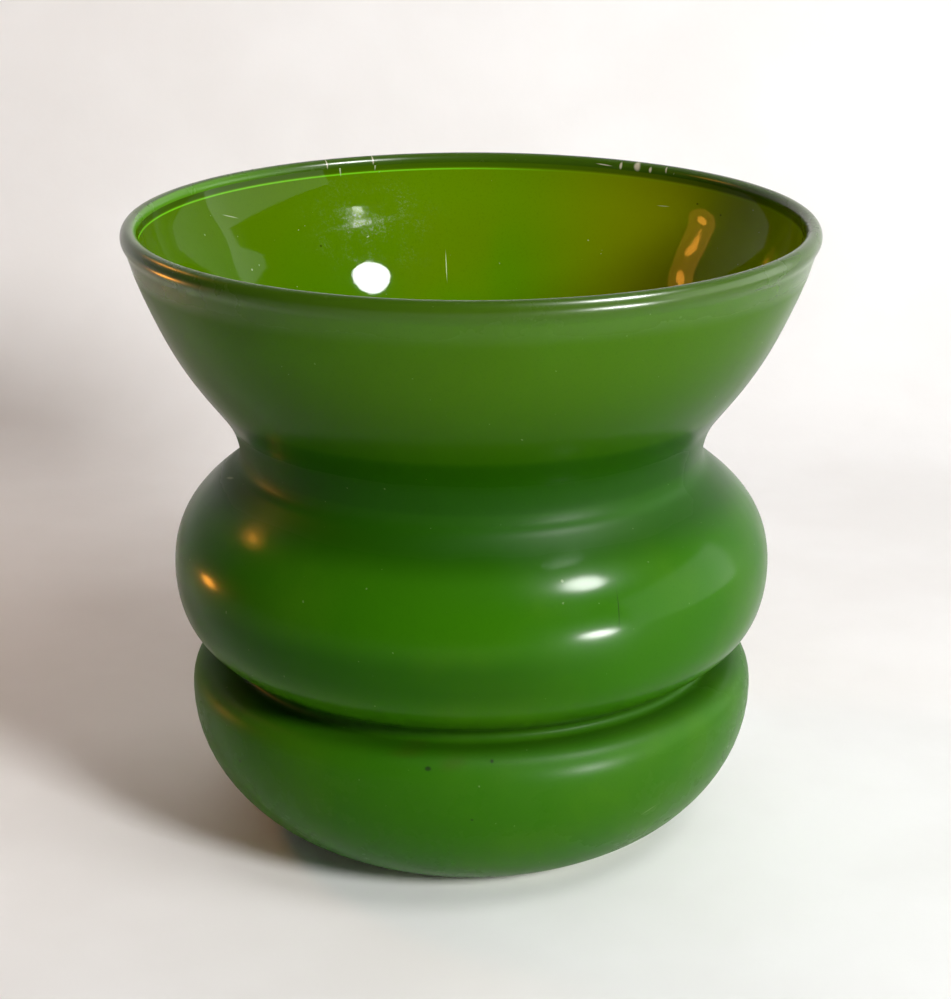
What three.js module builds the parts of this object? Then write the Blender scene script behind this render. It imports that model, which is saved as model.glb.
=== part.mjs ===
// A low round glass vase: a clear glass vessel with a flared mouth, a waist and two bulging
// rings, and the green enamel coat that covers its outside and the top of its lip.
// Millimetres, +Z up. The origin is the middle of the foot, on the surface that the vase stands on.

import * as THREE from 'three';

// ---- driving dimensions -------------------------------------------------------------------

const HEIGHT = 119.7;             // foot to lip
const MOUTH_RADIUS = 65;          // over the bead that edges the lip
const WALL = 2.9;                 // glass
const FLOOR = 5.5;                // glass at the middle of the base, above the hollow below it
const ENAMEL = 0.3;
const ENAMEL_GAP = 0.05;          // keeps the two solids apart
const SEGMENTS = 40;              // facets round the vase

// The outside swells and narrows between places where it is upright.
const LOWER_RING = { radius: 55, height: 27.8 };
const GROOVE = { radius: 46.9, height: 35.2 };
const UPPER_RING = { radius: 57.6, height: 53.3 };
const WAIST = { radius: 44.5, height: 74.6 };

// The foot is a narrow ring round a shallow hollow.
const FOOT_OUTER_RADIUS = 31;
const FOOT_INNER_RADIUS = 25.5;
const FOOT_HOLLOW = 2;
const ENAMEL_START = 1.2;         // height of the enamel's lower edge, just clear of the ground

// The lip is a small rounded bead with a shallow groove under it.
const BEAD_HEIGHT = 4.9;
const BEAD_GROOVE_DEPTH = 1.1;
const BEAD_WIDEST_BELOW_LIP = 2;
const LIP_THICKNESS = 2.95;
const FLARE_LEAN = 0.31;          // radians from upright where the flare meets the bead

// ---- outlines -----------------------------------------------------------------------------

const point = (radius, height) => new THREE.Vector2(radius, height);

/** Points on a smooth curve from one place to another, without its first point. */
function stretch(from, leaving, arriving, to, count) {
  return new THREE.CubicBezierCurve(from, leaving, arriving, to).getPoints(count).slice(1);
}

/** A stretch that is upright at both ends, each with its own fullness in millimetres. */
function upright(from, fullFrom, to, fullTo, count) {
  const a = point(from.radius, from.height);
  const b = point(to.radius, to.height);
  return stretch(a, point(a.x, a.y + fullFrom), point(b.x, b.y - fullTo), b, count);
}

/** An upward outline moved towards the axis, by a distance that may depend on the point. */
function insetBy(outline, distance) {
  return outline.map((p, i) => {
    const before = outline[Math.max(i - 1, 0)];
    const after = outline[Math.min(i + 1, outline.length - 1)];
    const along = after.clone().sub(before).normalize();
    return point(p.x - along.y * distance(p), p.y + along.x * distance(p));
  });
}

/** The outside of the vase, from the foot's outer edge up to the bead's widest place. */
function vaseOutside() {
  const foot = point(FOOT_OUTER_RADIUS, 0);
  const lower = point(LOWER_RING.radius, LOWER_RING.height);
  const waist = point(WAIST.radius, WAIST.height);
  const beadGroove = point(MOUTH_RADIUS - BEAD_GROOVE_DEPTH, HEIGHT - BEAD_HEIGHT);
  const bead = point(MOUTH_RADIUS, HEIGHT - BEAD_WIDEST_BELOW_LIP);
  const flareHandle = 31.6;
  const underBead = point(
    beadGroove.x - flareHandle * Math.sin(FLARE_LEAN),
    beadGroove.y - flareHandle * Math.cos(FLARE_LEAN),
  );
  return [
    foot,
    ...stretch(foot, point(foot.x + 7, 0), point(lower.x, lower.y - 17.4), lower, 7),
    ...upright(LOWER_RING, 10, GROOVE, 3, 7),
    ...upright(GROOVE, 3, UPPER_RING, 15.4, 8),
    ...upright(UPPER_RING, 14.4, WAIST, 4.5, 9),
    ...stretch(waist, point(waist.x, waist.y + 12.2), underBead, beadGroove, 8),
    ...stretch(beadGroove, point(beadGroove.x, beadGroove.y + 0.9), point(bead.x, bead.y - 1.2), bead, 3),
  ];
}

/** The round top of the lip, from the bead's widest place over to the inside wall. */
function lipTop(inset) {
  const bead = point(MOUTH_RADIUS - inset, HEIGHT - BEAD_WIDEST_BELOW_LIP);
  const inside = point(MOUTH_RADIUS - LIP_THICKNESS, HEIGHT - inset - 1.5);
  const top = point((bead.x + inside.x) / 2, HEIGHT - inset);
  return [
    ...stretch(bead, point(bead.x, bead.y + 1.1), point(top.x + 0.8, top.y), top, 3),
    ...stretch(top, point(top.x - 0.8, top.y), point(inside.x, inside.y + 0.8), inside, 3),
  ];
}

// ---- pieces -------------------------------------------------------------------------------

/** Turns a closed outline round the vase's axis. */
function turned(outline) {
  const shape = new THREE.LatheGeometry(outline, SEGMENTS);
  shape.rotateX(Math.PI / 2);
  return shape;
}

function piece(name, shape, look) {
  const mesh = new THREE.Mesh(shape, new THREE.MeshStandardMaterial(look));
  mesh.name = name;
  return mesh;
}

/** The clear vessel: walls, thick base, standing ring and lip. */
function glassBody() {
  const skin = ENAMEL + ENAMEL_GAP;
  const outside = insetBy(vaseOutside(), (p) => skin * Math.min(p.y / ENAMEL_START, 1));
  const floorHeight = FOOT_HOLLOW + FLOOR;
  const cornerRise = 4;
  const inside = insetBy(outside, () => WALL).filter(
    (p) => p.y > floorHeight + cornerRise && p.y < HEIGHT - BEAD_HEIGHT + 1,
  );
  const corner = inside[0];
  return piece('glass_body', turned([
    point(0, FOOT_HOLLOW),
    point(FOOT_INNER_RADIUS - 4, FOOT_HOLLOW),
    point(FOOT_INNER_RADIUS, 0),
    ...outside,
    ...lipTop(skin),
    ...inside.reverse(),
    ...stretch(corner, point(corner.x - 4, corner.y - 4), point(corner.x - 14, floorHeight),
      point(corner.x - 24, floorHeight), 4),
    point(0, floorHeight),
  ]), { color: 0xdfe9d8, roughness: 0.05, metalness: 0, transparent: true, opacity: 0.35 });
}

/** The enamel: a thin skin from just above the foot, up the outside and over the lip. */
function enamelCoat() {
  const outside = vaseOutside().filter((p) => p.y > ENAMEL_START);
  const over = [...outside, ...lipTop(0)];
  const under = [...insetBy(outside, () => ENAMEL), ...lipTop(ENAMEL)];
  return piece('green_enamel_coat', turned([...over, ...under.reverse(), over[0].clone()]), {
    color: 0x3f6f14, roughness: 0.3, metalness: 0,
  });
}

const vase = new THREE.Group();
vase.add(glassBody(), enamelCoat());

export default vase;
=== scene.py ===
"""A low flared vase of glass with a green enamel skin, on a plain pale floor.

The two pieces are turned again, finely, from the outlines of the CAD solids. The glass body is seen only
from inside, where the enamel shows through it; the enamel skin covers the outside and the lip.
Directions are given as an azimuth from the viewer's side (-Y) towards +X, and a height above the origin.
"""
import math

import bmesh
import bpy
import numpy as np
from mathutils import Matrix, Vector


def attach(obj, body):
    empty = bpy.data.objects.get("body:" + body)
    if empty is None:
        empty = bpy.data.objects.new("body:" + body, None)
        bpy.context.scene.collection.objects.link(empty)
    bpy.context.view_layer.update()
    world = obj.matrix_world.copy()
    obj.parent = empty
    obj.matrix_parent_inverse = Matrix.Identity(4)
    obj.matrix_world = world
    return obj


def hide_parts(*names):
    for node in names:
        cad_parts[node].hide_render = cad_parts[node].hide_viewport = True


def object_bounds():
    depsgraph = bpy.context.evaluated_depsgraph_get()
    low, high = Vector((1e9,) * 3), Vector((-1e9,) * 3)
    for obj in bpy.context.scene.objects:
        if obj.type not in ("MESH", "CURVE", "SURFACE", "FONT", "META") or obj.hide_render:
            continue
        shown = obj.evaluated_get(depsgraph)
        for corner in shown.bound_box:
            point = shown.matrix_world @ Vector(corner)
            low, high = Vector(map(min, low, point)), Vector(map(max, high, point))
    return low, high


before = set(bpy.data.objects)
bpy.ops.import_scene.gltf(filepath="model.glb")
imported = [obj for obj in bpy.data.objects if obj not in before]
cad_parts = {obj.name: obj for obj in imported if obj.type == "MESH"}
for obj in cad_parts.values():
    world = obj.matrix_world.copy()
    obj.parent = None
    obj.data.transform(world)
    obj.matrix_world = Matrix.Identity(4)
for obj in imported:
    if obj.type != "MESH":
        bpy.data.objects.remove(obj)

cad_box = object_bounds()

MM = 0.001
AROUND = 240                # segments round the axis
STEPS = 3                   # fine steps for each step of the CAD outline
CORNER = math.radians(86)   # the outline bends more than this only at a real edge
FOOT_RADIUS = 31.5 * MM     # the foot's own edges lie inside this radius
FOOT_TOP = 2.2 * MM
WAVINESS = 0.14 * MM        # how far the blown surface falls short of a true circle
ON_AXIS = 0.01 * MM         # an outline point nearer the axis than this is on it
ON_PLANE = 1e-6             # how near y = 0 a vertex of the CAD outline lies
SHARP = math.radians(60)    # edges bent more than this are shaded as edges
LIP_Z = cad_box[1][2]
VASE_RADIUS = cad_box[1][0]
CAMERA_PLACE = (0.0008, -0.430, 0.213)
CAMERA_PITCH = 19.13        # degrees below level
LENS = 56.32                # millimetres, on a sensor 24 mm tall


# Outlines -------------------------------------------------------------------------------------------

def outline_steps(mesh):
    """Each point of the outline at y = 0, x >= 0, with its neighbours along the outline."""
    def key(vertex):
        return round(vertex.co.x, 6) + 0.0, round(vertex.co.z, 6) + 0.0

    def on_outline(vertex):
        return abs(vertex.co.y) < ON_PLANE and vertex.co.x > -ON_PLANE

    steps = {}
    for edge in mesh.edges:
        ends = [mesh.vertices[index] for index in edge.vertices]
        if all(on_outline(end) for end in ends) and key(ends[0]) != key(ends[1]):
            a, b = key(ends[0]), key(ends[1])
            steps.setdefault(a, set()).add(b)
            steps.setdefault(b, set()).add(a)
    return steps


def outline_of(node):
    """The node's outline as an array of (radius, height), and whether it closes on itself."""
    steps = outline_steps(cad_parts[node].data)
    ends = sorted(point for point in steps if len(steps[point]) == 1)
    here = ends[0] if ends else min(steps)
    walk = [here]
    while True:
        onward = sorted(steps[here] - set(walk))
        if not onward:
            break
        here = onward[0]
        walk.append(here)
    return np.array(walk), not ends


def turn_at(points, index):
    """How far the outline turns at a point, in radians."""
    before = points[index] - points[index - 1]
    after = points[(index + 1) % len(points)] - points[index]
    cross = before[0] * after[1] - before[1] * after[0]
    return abs(math.atan2(cross, before @ after))


def is_corner(points, index):
    radius, height = points[index]
    on_foot = radius < FOOT_RADIUS and height < FOOT_TOP
    return on_foot or turn_at(points, index) > CORNER


def spline(points):
    """A natural cubic spline through the points, with STEPS fine steps between each two."""
    if len(points) < 3:
        return points
    gaps = np.linalg.norm(np.diff(points, axis=0), axis=1)
    count = len(points)
    matrix = np.eye(count)
    wanted = np.zeros((count, 2))
    slopes = np.diff(points, axis=0) / gaps[:, None]
    for i in range(1, count - 1):
        matrix[i, i - 1:i + 2] = gaps[i - 1], 2 * (gaps[i - 1] + gaps[i]), gaps[i]
        wanted[i] = 6 * (slopes[i] - slopes[i - 1])
    bends = np.linalg.solve(matrix, wanted)
    fine = [points[0]]
    for i in range(count - 1):
        for step in range(1, STEPS + 1):
            b = step / STEPS
            a = 1 - b
            curve = (a ** 3 - a) * bends[i] + (b ** 3 - b) * bends[i + 1]
            fine.append(a * points[i] + b * points[i + 1] + curve * gaps[i] ** 2 / 6)
    return np.array(fine)


def smooth_outline(node):
    """The node's outline with its facets rounded out, and its real corners kept."""
    points, closed = outline_of(node)
    if closed:
        first = next(i for i in range(len(points)) if is_corner(points, i))
        points = np.roll(points, -first, axis=0)
        points = np.vstack([points, points[:1]])
    last = len(points) - 1
    cuts = [0] + [i for i in range(1, last) if is_corner(points, i)] + [last]
    pieces = [spline(points[a:b + 1])[:-1] for a, b in zip(cuts, cuts[1:])]
    fine = np.vstack(pieces if closed else pieces + [points[-1:]])
    fine[:, 0] = np.clip(fine[:, 0], 0, VASE_RADIUS)
    fine[:, 1] = np.clip(fine[:, 1], 0, LIP_Z)
    return fine, closed


# Pieces ---------------------------------------------------------------------------------------------

def waviness(angle, height):
    """How much the hand-blown wall falls short of a true circle here, from 0 to 1."""
    slow = math.sin(2 * angle + 0.9 + 38 * height)
    quick = math.sin(3 * angle + 2.1 - 61 * height)
    return 0.5 + 0.3 * slow + 0.2 * quick


def turned(name, node):
    """A fine surface of revolution from the CAD node's outline."""
    outline, closed = smooth_outline(node)
    work = bmesh.new()
    rings = []
    for radius, height in outline:
        if radius < ON_AXIS:
            rings.append([work.verts.new((0, 0, height))])
            continue
        ring = []
        for step in range(AROUND):
            angle = 2 * math.pi * step / AROUND
            r = radius - WAVINESS * waviness(angle, height)
            ring.append(work.verts.new((r * math.cos(angle), r * math.sin(angle), height)))
        rings.append(ring)
    pairs = list(zip(rings, rings[1:] + rings[:1])) if closed else list(zip(rings, rings[1:]))
    for lower, upper in pairs:
        for step in range(AROUND):
            corners = [lower[step % len(lower)], lower[(step + 1) % len(lower)],
                       upper[(step + 1) % len(upper)], upper[step % len(upper)]]
            work.faces.new(dict.fromkeys(corners))
    bmesh.ops.recalc_face_normals(work, faces=work.faces)
    mesh = bpy.data.meshes.new(name)
    work.to_mesh(mesh)
    work.free()
    for polygon in mesh.polygons:
        polygon.use_smooth = True
    mesh.set_sharp_from_angle(angle=SHARP)
    piece = bpy.data.objects.new(name, mesh)
    bpy.context.scene.collection.objects.link(piece)
    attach(piece, "root")
    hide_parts(node)
    return piece


# Materials ------------------------------------------------------------------------------------------

class Finish:
    """A material's nodes, with short calls for the few kinds used here.

    height and radius are in metres, azimuth is in radians, and side is 1 on the right and -1 on the left.
    """

    def __init__(self, name):
        self.material = bpy.data.materials.new(name)
        self.material.use_nodes = True
        self.tree = self.material.node_tree
        self.shader = self.tree.nodes["Principled BSDF"]
        self.place = self.node("ShaderNodeTexCoord").outputs["Object"]
        parts = self.node("ShaderNodeSeparateXYZ")
        self.feed(parts.inputs[0], self.place)
        self.height = parts.outputs["Z"]
        toward_viewer = self.math("MULTIPLY", parts.outputs["Y"], -1)
        self.azimuth = self.math("ARCTAN2", parts.outputs["X"], toward_viewer)
        self.side = self.math("SINE", self.azimuth)
        square = self.math("POWER", parts.outputs["Y"], 2)
        squares = self.math("MULTIPLY_ADD", parts.outputs["X"], parts.outputs["X"], square)
        self.radius = self.math("SQRT", squares)
        self.round = self.math("MULTIPLY", self.azimuth, MARK_RADIUS)
        flat = self.node("ShaderNodeCombineXYZ")
        self.feed(flat.inputs["X"], self.round)
        self.feed(flat.inputs["Y"], self.height)
        self.flat = flat.outputs[0]

    def node(self, kind, **settings):
        made = self.tree.nodes.new(kind)
        for name, value in settings.items():
            setattr(made, name, value)
        return made

    def feed(self, socket, value):
        if isinstance(value, bpy.types.NodeSocket):
            self.tree.links.new(value, socket)
        else:
            socket.default_value = value

    def math(self, operation, *values):
        made = self.node("ShaderNodeMath", operation=operation)
        for socket, value in zip(made.inputs, values):
            self.feed(socket, value)
        return made.outputs[0]

    def ramp(self, value, start, end, low=0.0, high=1.0):
        """low before start, high after end, and a smooth rise between them."""
        made = self.node("ShaderNodeMapRange", interpolation_type="SMOOTHSTEP")
        for socket, given in zip(made.inputs, (value, start, end, low, high)):
            self.feed(socket, given)
        return made.outputs["Result"]

    def band(self, value, middle, width, soft):
        """1 within width around middle, and 0 past it."""
        away = self.math("ABSOLUTE", self.math("SUBTRACT", value, middle))
        return self.ramp(away, width / 2 - soft / 2, width / 2 + soft / 2, 1.0, 0.0)

    def up(self, start, end, low=0.0, high=1.0):
        """A ramp between two heights in millimetres."""
        return self.ramp(self.height, start * MM, end * MM, low, high)

    def belt(self, middle, width, soft):
        """1 in a belt round the vase, given by its height in millimetres."""
        return self.band(self.height, middle * MM, width * MM, soft * MM)

    def noise(self, per_mm, detail=3.0, rough=0.5):
        """Noise with that many cells to a millimetre."""
        made = self.node("ShaderNodeTexNoise")
        self.feed(made.inputs["Vector"], self.place)
        made.inputs["Scale"].default_value = per_mm / MM
        made.inputs["Detail"].default_value = detail
        made.inputs["Roughness"].default_value = rough
        return made.outputs["Fac"]

    def times(self, *values):
        product = values[0]
        for value in values[1:]:
            product = self.math("MULTIPLY", product, value)
        return product

    def most(self, *values):
        largest = values[0]
        for value in values[1:]:
            largest = self.math("MAXIMUM", largest, value)
        return largest

    def over(self, colour, paint, mask):
        """paint over colour, as strong as the mask."""
        made = self.node("ShaderNodeMix", data_type="RGBA", clamp_factor=True)
        self.feed(made.inputs["Factor"], mask)
        self.feed(made.inputs[6], colour)
        self.feed(made.inputs[7], paint)
        return made.outputs[2]

    def mark(self, azimuth, height, length, width, lean=0.0, soft=0.5):
        """A mark on the wall: degrees round, then millimetres; lean is its slant in degrees from level."""
        mapping = self.node("ShaderNodeMapping", vector_type="TEXTURE")
        self.feed(mapping.inputs["Vector"], self.flat)
        mapping.inputs["Location"].default_value = (math.radians(azimuth) * MARK_RADIUS, height * MM, 0)
        mapping.inputs["Rotation"].default_value = (0, 0, math.radians(lean))
        mapping.inputs["Scale"].default_value = (length * MM / 2, width * MM / 2, 1)
        size = self.node("ShaderNodeVectorMath", operation="LENGTH")
        self.feed(size.inputs[0], mapping.outputs[0])
        return self.ramp(size.outputs["Value"], 1 - soft, 1 + soft, 1.0, 0.0)

    def marked(self, colour, paint, strength, places, **shape):
        """The colour with every mark of a list painted over it."""
        for place in places:
            colour = self.over(colour, paint, self.times(self.mark(*place, **shape), strength))
        return colour

    def bump(self, *layers):
        """Bumps stacked from (height socket, depth in millimetres)."""
        normal = None
        for height, depth in layers:
            made = self.node("ShaderNodeBump")
            made.inputs["Distance"].default_value = depth * MM
            self.feed(made.inputs["Height"], height)
            if normal:
                self.feed(made.inputs["Normal"], normal)
            normal = made.outputs[0]
        self.feed(self.shader.inputs["Normal"], normal)


MARK_RADIUS = 55 * MM       # marks are laid out at this radius, the middle of the walls' radii


def rgb(red, green, blue):
    return (red, green, blue, 1.0)


# Marks on the enamel and on the inside: azimuth in degrees, height, length and width in millimetres,
# and the slant from level in degrees where there is one.
DARK_SPOTS = (
    (-8.1, 32.0, 1.1, 0.7), (4.0, 33.2, 0.6, 0.45), (0.2, 22.3, 0.5, 0.4), (80, 119.4, 0.6, 0.5),
    (-52, 24.0, 0.7, 0.5), (118, 61.0, 0.8, 0.6), (203, 98.0, 0.6, 0.6), (151, 40.0, 0.7, 0.5),
)
HAIRLINES = ((27.4, 60.6, 5.6, 0.16, 82),)
BROWN_SMUDGES = ((-3.5, 32.8, 4.0, 1.6, 10), (-12.5, 33.8, 5.5, 0.9, 4), (-62, 34.5, 9.0, 1.5, 0))
SCUFFS = (
    (-78.8, 71.3, 3.4, 0.35, 12), (17.6, 66.2, 0.5, 0.4, 0), (96, 57.0, 4.0, 0.25, -8),
    (-150, 54.0, 5.0, 0.3, 5), (38, 18.0, 3.0, 0.22, 20),
)
LIP_CHIPS = (
    (146.5, 118.9, 1.5, 1.1, 70), (150.0, 118.7, 0.5, 1.2, 0), (143.5, 118.6, 0.5, 1.0, 0),
    (153.5, 118.6, 2.6, 0.2, 4), (140.0, 119.0, 0.3, 1.0, -15), (-151.0, 118.9, 0.25, 1.6, 0),
    (-160.5, 119.0, 0.25, 1.6, 0),
)
PAINTED_GLINTS = ((-174.2, 97.6, 4.4, 0.18, 90),)
SCRATCHES_INSIDE = (
    (-153.6, 117.6, 0.25, 2.2, 0), (-160.9, 118.0, 0.25, 1.8, 8), (-126, 112.0, 3.2, 0.16, 20),
    (139, 112.0, 2.4, 0.14, -4), (96, 108.5, 1.6, 0.8, 60),
)
SPECKS_INSIDE = ((131, 113.6, 0.5, 0.3), (124, 112.6, 0.45, 0.35), (-146, 103.4, 0.5, 0.4))
HAZE_PATCH = (-158, 106.5, 21, 16)
LIMESCALE_LINE = (-157.6, 106.9, 14, 1.1, -5)


# Belts round the wall: the height of the middle, the width, and the softness of the edge, in millimetres
# Painted shade: the next three belts darken the enamel at the waist, on the shoulder and under the upper
# ring.
SHADED_WAIST = (81.5, 13, 3.5)
SHADED_SHOULDER = (73, 10, 5)
SHADE_UNDER_UPPER_RING = (49.5, 9, 6)
# Painted shade in the groove between the rings.
SHADED_GROOVE = (35.5, 3.2, 3.0)
DULL_WAIST = (76, 12, 4)
DULL_GROOVE = (34, 6, 4)
# Painted light: a glowing lime line inside, under the lip.
LIME_GLOW_LINE = (116.6, 0.26, 0.24)

# Stretches of the wall where a finish or a painted shade changes: where it starts and where it ends, in
# millimetres of height
RINGS_TO_FLARE = (78, 96)
FLARE_DARKENS = (108, 88)
WAIST_TO_FLARE = (78, 86)
FLARE_TO_LIP = (111, 114)
LIP_TOP = (115.5, 118.2)
LIP_INNER_EDGE = (117, 118)
LIP_CREST = (118.9, 119.6)
LOWER_RING_DULLS = (35, 29)
INSIDE_DEEP_TO_OLIVE = (88, 114)
INSIDE_SHADED_EDGE = (116.6, 117.2)
BASE_TOP = (7.6, 8.2)


def enamel_greens_and_shade(f):
    """The enamel's greens: yellower on the flare and grained throughout, with painted shade in the waist,
    on the shoulder, under the upper ring away from the right, and down the lower flare.
    """
    rings_green = rgb(0.024, 0.115, 0.0008)
    flare_green = rgb(0.043, 0.118, 0.0015)
    thin_green = rgb(0.048, 0.148, 0.003)
    shaded_green = rgb(0.008, 0.055, 0.0)
    grain_green = rgb(0.016, 0.085, 0.0)
    colour = f.over(rings_green, flare_green, f.up(*RINGS_TO_FLARE))
    cloud = f.noise(0.035, 3.0, 0.55)
    colour = f.over(colour, thin_green, f.ramp(cloud, 0.42, 0.72, 0.0, 0.45))

    # Painted shade: darker green in the waist, on the shoulder, under the upper ring away from the right,
    # and down the lower flare.
    waist = f.times(f.belt(*SHADED_WAIST), 0.85)
    shoulder = f.times(f.belt(*SHADED_SHOULDER), 0.70)
    away_from_the_right = f.ramp(f.side, 0.55, 0.05)
    under_upper_ring = f.times(f.belt(*SHADE_UNDER_UPPER_RING), away_from_the_right, 0.60)
    lower_flare = f.times(f.up(*FLARE_DARKENS, 0.0, 0.52), f.up(*WAIST_TO_FLARE))
    colour = f.over(colour, shaded_green, f.most(waist, shoulder, under_upper_ring, lower_flare))
    grain = f.noise(2.6, 2.0, 0.6)
    return f.over(colour, grain_green, f.ramp(grain, 0.50, 0.78, 0.0, 0.30))


def enamel_wear_light_and_shade(f, colour):
    """The lip's own tint and wear, a painted glow along the lip's inner edge on the left, painted shade in
    the groove, flecks, and the single marks.
    """
    lip_green = rgb(0.034, 0.075, 0.002)
    glow_lime = rgb(0.13, 0.42, 0.01)
    colour = f.over(colour, lip_green, f.times(f.up(*LIP_TOP), 0.80))
    on_the_left = f.ramp(f.side, -0.45, -1.0)
    # Painted light: a lime glow along the lip's inner edge, on the left only.
    glowing_inner_edge = f.times(f.ramp(f.radius, 62.9 * MM, 62.5 * MM), f.up(*LIP_INNER_EDGE))
    colour = f.over(colour, glow_lime, f.times(glowing_inner_edge, on_the_left, 0.5))

    groove_shade = rgb(0.010, 0.040, 0.002)
    dark = rgb(0.010, 0.022, 0.006)
    brown = rgb(0.045, 0.030, 0.004)
    # Painted shade: the groove between the rings is darkened.
    colour = f.over(colour, groove_shade, f.times(f.belt(*SHADED_GROOVE), 0.30))
    colour = f.marked(colour, dark, 0.85, DARK_SPOTS)
    colour = f.marked(colour, dark, 0.8, HAIRLINES)

    pale = rgb(0.32, 0.42, 0.20)
    chipped = rgb(0.62, 0.56, 0.42)
    worn = rgb(0.16, 0.20, 0.08)
    flecks = f.ramp(f.noise(1.1, 1.0, 0.5), 0.795, 0.82)
    colour = f.over(colour, pale, f.times(flecks, 0.30))
    colour = f.marked(colour, brown, 0.18, BROWN_SMUDGES, soft=0.8)
    colour = f.marked(colour, pale, 0.45, SCUFFS)
    colour = f.marked(colour, chipped, 0.8, LIP_CHIPS)
    patches = f.ramp(f.noise(0.5, 4.0, 0.65), 0.60, 0.70)
    return f.over(colour, worn, f.times(f.up(*LIP_CREST), patches, 0.2))


def enamel_gloss(f):
    """A thin gloss over a satin sheen: duller in the waist, groove and lower ring, bright at the lip."""
    handling = f.noise(0.06, 5.0, 0.6)
    rough = f.ramp(handling, 0.35, 0.70, 0.13, 0.19)
    waist_or_groove = f.most(f.belt(*DULL_WAIST), f.belt(*DULL_GROOVE))
    dulling = f.ramp(f.side, 0.80, 0.92, 0.27, 0.08)
    rough = f.math("ADD", rough, f.times(waist_or_groove, dulling))
    lower_ring = f.up(*LOWER_RING_DULLS, 0.0, 0.12)
    lip = f.up(*FLARE_TO_LIP, 0.0, 0.10)
    rough = f.math("ADD", rough, f.most(lower_ring, lip))

    satin = f.up(*FLARE_TO_LIP, 0.20, 0.0)
    f.feed(f.shader.inputs["Roughness"], f.math("ADD", rough, satin))
    f.feed(f.shader.inputs["Specular IOR Level"], f.up(*FLARE_TO_LIP, 0.018, 0.16))
    f.feed(f.shader.inputs["Coat Roughness"], rough)
    f.shader.inputs["Coat Weight"].default_value = 0.5
    f.shader.inputs["Coat IOR"].default_value = 1.18
    f.bump((f.noise(0.12, 2.0, 0.5), 0.006))


def enamel():
    """Semi-gloss fired enamel: uneven cover, dulled patches, pinholes, a scratch and scuffs, with painted
    shade in belts and in the groove, and a painted glow along the lip's inner edge.
    """
    f = Finish("green_enamel_finish")
    f.feed(f.shader.inputs["Base Color"], enamel_wear_light_and_shade(f, enamel_greens_and_shade(f)))
    enamel_gloss(f)
    return f.material


def seen_through_glass(f):
    """The enamel's greens from inside: olive near the lip, painted warm light on the right and painted
    shade on the left, and at the lip a painted dark band and a painted glowing lime line.
    """
    deep = rgb(0.066, 0.185, 0.0)
    olive = rgb(0.100, 0.205, 0.0)
    clouded = rgb(0.112, 0.175, 0.0)
    colour = f.over(deep, olive, f.up(*INSIDE_DEEP_TO_OLIVE))
    cloud = f.noise(0.03, 3.0, 0.5)
    colour = f.over(colour, clouded, f.ramp(cloud, 0.45, 0.70, 0.0, 0.5))
    grain = f.noise(2.2, 2.0, 0.6)
    colour = f.over(colour, rgb(0.050, 0.120, 0.0), f.ramp(grain, 0.50, 0.78, 0.0, 0.30))

    # Painted light and shade by side: darker on the left, lit olive-brown and brighter green on the right.
    left_painted_shade = rgb(0.036, 0.095, 0.0)
    right_painted_warm_light = rgb(0.250, 0.240, 0.0)
    far_right_painted_light = rgb(0.150, 0.270, 0.0)
    colour = f.over(colour, left_painted_shade, f.ramp(f.side, 0.1, -0.8, 0.0, 0.50))
    colour = f.over(colour, right_painted_warm_light, f.ramp(f.side, 0.1, 0.75, 0.0, 0.60))
    colour = f.over(colour, far_right_painted_light, f.ramp(f.side, 0.70, 0.96, 0.0, 0.65))

    # Painted shade and light at the lip: a dark band just under the rim, and a glowing lime line, brighter
    # on the left and back.
    shaded_edge_green = rgb(0.030, 0.070, 0.001)
    glow_lime = rgb(0.15, 0.50, 0.01)
    colour = f.over(colour, shaded_edge_green, f.times(f.up(*INSIDE_SHADED_EDGE), 0.8))
    left_and_back = f.ramp(f.math("SINE", f.math("ADD", f.azimuth, math.radians(5))), 0.35, -0.25)
    lime_glow = f.times(f.belt(*LIME_GLOW_LINE), f.most(left_and_back, 0.12))
    return f.over(colour, glow_lime, lime_glow)


def limescale(f):
    """A dried water mark high on the back wall: a speckled haze with a denser line in it."""
    speckle = f.ramp(f.noise(1.9, 5.0, 0.80), 0.46, 0.68)
    film = f.ramp(f.noise(0.22, 4.0, 0.6), 0.40, 0.75)
    haze = f.times(f.mark(*HAZE_PATCH, soft=0.8), speckle, film)
    crust = f.ramp(f.noise(1.4, 5.0, 0.85), 0.44, 0.60)
    line = f.times(f.mark(*LIMESCALE_LINE, soft=0.8), crust, 0.8)
    return f.most(haze, line)


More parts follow.
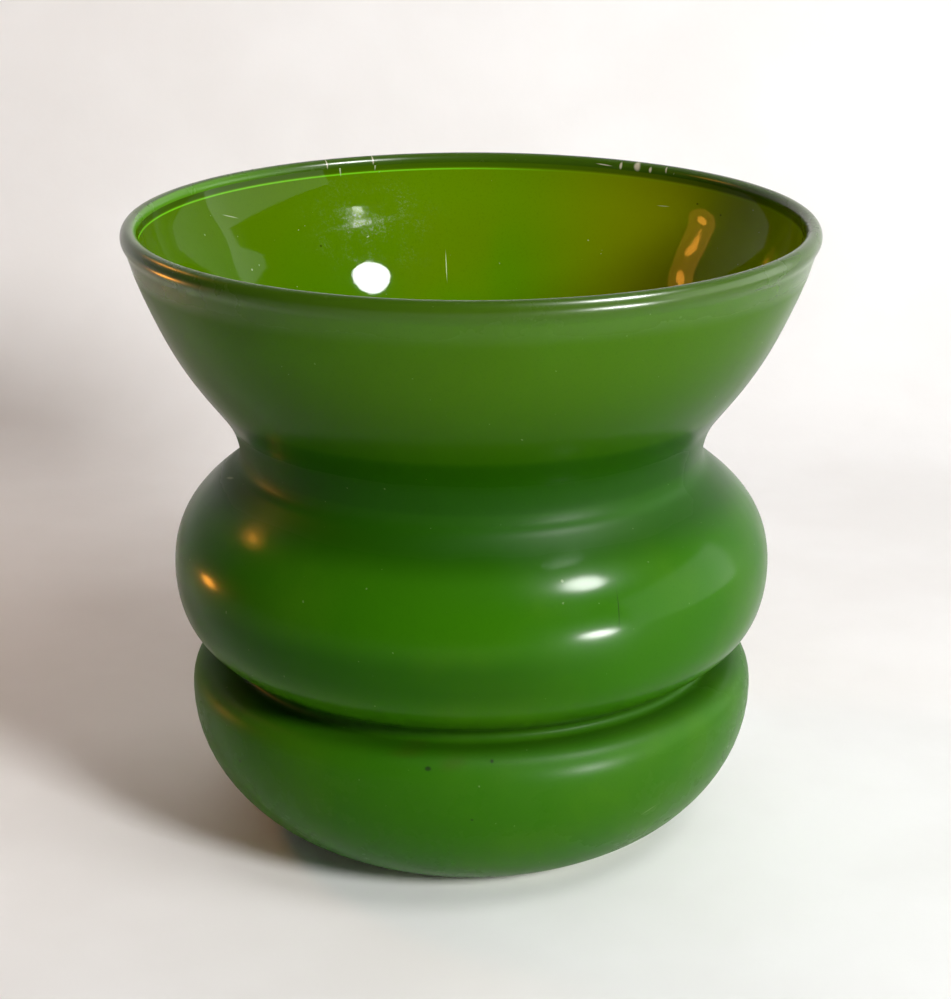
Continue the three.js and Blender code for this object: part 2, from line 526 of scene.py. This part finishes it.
def glass():
    """Clear glass in front of the enamel: a deep gloss, limescale and scratches, a painted glint, and a
    bare base.
    """
    f = Finish("clear_glass_finish")
    colour = seen_through_glass(f)
    haze = limescale(f)
    colour = f.over(colour, rgb(0.24, 0.32, 0.14), f.times(haze, 0.5))
    dust = f.ramp(f.noise(0.80, 1.0, 0.5), 0.785, 0.81)
    colour = f.over(colour, rgb(0.45, 0.52, 0.30), f.times(dust, 0.7))
    # A painted highlight: a short pale vertical glint on the inner wall.
    colour = f.marked(colour, rgb(0.60, 0.70, 0.35), 0.8, PAINTED_GLINTS, soft=0.6)
    colour = f.marked(colour, rgb(0.55, 0.60, 0.38), 0.6, SCRATCHES_INSIDE)
    colour = f.marked(colour, rgb(0.02, 0.03, 0.0), 0.8, SPECKS_INSIDE)

    thin_base = rgb(0.20, 0.29, 0.12)
    thick_base = rgb(0.30, 0.38, 0.21)
    scratched = rgb(0.50, 0.53, 0.44)
    bare = f.times(f.ramp(f.radius, 37.8 * MM, 38.8 * MM, 1.0, 0.0), f.up(*BASE_TOP, 1.0, 0.0))
    base = f.over(thin_base, thick_base, f.ramp(f.noise(0.08, 3.0, 0.5), 0.35, 0.7))
    foot_ring = f.band(f.radius, 28.3 * MM, 6.5 * MM, 1.5 * MM)
    rubbed = f.times(f.ramp(f.noise(0.8, 5.0, 0.7), 0.45, 0.62), foot_ring)
    base = f.over(base, scratched, f.times(rubbed, 0.7))
    f.feed(f.shader.inputs["Base Color"], f.over(colour, base, bare))

    polish = f.ramp(f.noise(0.05, 4.0, 0.6), 0.4, 0.7, 0.035, 0.075)
    rough = f.math("ADD", polish, f.times(haze, 0.22))
    f.feed(f.shader.inputs["Roughness"], f.math("ADD", rough, f.times(rubbed, bare, 0.35)))
    f.shader.inputs["Specular IOR Level"].default_value = 0.055
    f.bump((f.noise(0.05, 2.0, 0.5), 0.05), (f.noise(2.0, 2.0, 0.5), 0.0008))
    return f.material


def pale_floor():
    """A plain matt off-white ground with the faintest mottle."""
    f = Finish("pale_floor_finish")
    warm_white = rgb(0.84, 0.83, 0.82)
    cool_white = rgb(0.88, 0.875, 0.87)
    mottle = f.ramp(f.noise(0.02, 3.0, 0.5), 0.3, 0.7)
    f.feed(f.shader.inputs["Base Color"], f.over(warm_white, cool_white, mottle))
    f.shader.inputs["Roughness"].default_value = 0.9
    f.shader.inputs["Specular IOR Level"].default_value = 0.1
    f.bump((f.noise(0.25, 3.0, 0.6), 0.05))
    return f.material


# Stage, lights and camera ---------------------------------------------------------------------------

def sweep():
    """The floor, curving up into a backdrop behind the vase."""
    half_width, front, bend, radius, top = 1.4, -1.6, 0.20, 0.09, 1.3
    bend_steps = 16
    line = [(front, 0), (bend, 0)]
    for step in range(1, bend_steps + 1):
        angle = math.pi / 2 * step / bend_steps
        line.append((bend + radius * math.sin(angle), radius * (1 - math.cos(angle))))
    line.append((bend + radius, top))
    vertices = [(side, y, z) for y, z in line for side in (-half_width, half_width)]
    faces = [(i, i + 1, i + 3, i + 2) for i in range(0, len(vertices) - 2, 2)]
    mesh = bpy.data.meshes.new("floor_sweep")
    mesh.from_pydata(vertices, [], faces)
    for polygon in mesh.polygons:
        polygon.use_smooth = True
    ground = bpy.data.objects.new("floor_sweep", mesh)
    ground.data.materials.append(pale_floor())
    bpy.context.scene.collection.objects.link(ground)


def lamp(name, place, aim, size, radiance, colour=(1, 1, 1), shape="ELLIPSE",
         lights_things=True, shown_in_gloss=True):
    """An area lamp of the given radiance, which may light things, show in reflections or both."""
    data = bpy.data.lights.new(name, "AREA")
    data.shape = shape
    data.size, data.size_y = size
    area = size[0] * size[1] * (math.pi / 4 if shape == "ELLIPSE" else 1)
    data.energy = radiance * area * math.pi
    data.color = colour
    made = bpy.data.objects.new(name, data)
    made.location = place
    made.rotation_euler = (Vector(aim) - Vector(place)).to_track_quat("-Z", "Y").to_euler()
    made.visible_diffuse = lights_things
    made.visible_glossy = shown_in_gloss
    made.visible_camera = False
    bpy.context.scene.collection.objects.link(made)


def lamps():
    """A soft light from the right, small white lamps seen in the gloss, and warm ones at the left."""
    middle, low = (0, 0, 0.07), (0, 0, 0.05)
    amber = (1.0, 0.36, 0.04)
    lamp("key", (0.344, -0.236, 0.53), middle, (0.15, 0.13), 240, lights_things=False)
    lamp("low_key", (0.30, -0.31, 0.042), low, (0.10, 0.04), 380, lights_things=False)
    lamp("soft_top", (0.42, -0.34, 0.80), middle, (0.36, 0.36), 7, shown_in_gloss=False)
    lamp("soft_side", (0.55, -0.66, 0.46), middle, (0.22, 0.22), 76, shown_in_gloss=False)
    lamp("right_wall", (0.62, -0.02, 0.20), middle, (0.70, 0.36), 4.5,
         shape="RECTANGLE", lights_things=False)
    lamp("warm", (-0.259, 0.096, 0.235), middle, (0.080, 0.050), 12, amber)
    lamp("warm_core", (-0.258, 0.095, 0.234), middle, (0.030, 0.014), 55, amber, lights_things=False)
    lamp("low_warm", (-0.27, 0.075, 0.033), low, (0.040, 0.022), 80, amber, lights_things=False)


def surroundings():
    """Soft even light on everything, but a dim room in the reflections."""
    world = bpy.data.worlds.new("soft_room")
    bpy.context.scene.world = world
    world.use_nodes = True
    tree = world.node_tree
    light = tree.nodes["Background"]
    light.inputs["Color"].default_value = rgb(1.0, 0.99, 0.97)
    light.inputs["Strength"].default_value = 0.09
    room = tree.nodes.new("ShaderNodeBackground")
    room.inputs["Color"].default_value = rgb(0.9, 1.0, 0.85)
    room.inputs["Strength"].default_value = 0.07
    ray = tree.nodes.new("ShaderNodeLightPath")
    mix = tree.nodes.new("ShaderNodeMixShader")
    tree.links.new(ray.outputs["Is Glossy Ray"], mix.inputs[0])
    tree.links.new(light.outputs[0], mix.inputs[1])
    tree.links.new(room.outputs[0], mix.inputs[2])
    tree.links.new(mix.outputs[0], tree.nodes["World Output"].inputs["Surface"])


def camera():
    """A close view from the front, a little above the lip."""
    data = bpy.data.cameras.new("camera")
    data.sensor_fit = "VERTICAL"
    data.sensor_height = 24
    data.lens = LENS
    data.clip_start = 0.01
    view = bpy.data.objects.new("camera", data)
    view.location = CAMERA_PLACE
    view.rotation_euler = (math.radians(90 - CAMERA_PITCH), 0, 0)
    bpy.context.scene.collection.objects.link(view)
    bpy.context.scene.camera = view


# The vase -------------------------------------------------------------------------------------------

def vase():
    body = turned("vase_glass", "glass_body")
    body.data.materials.append(glass())
    skin = turned("enamel_skin", "green_enamel_coat")
    skin.data.materials.append(enamel())


bpy.context.scene.view_settings.view_transform = "Standard"
vase()
sweep()
lamps()
surroundings()
camera()
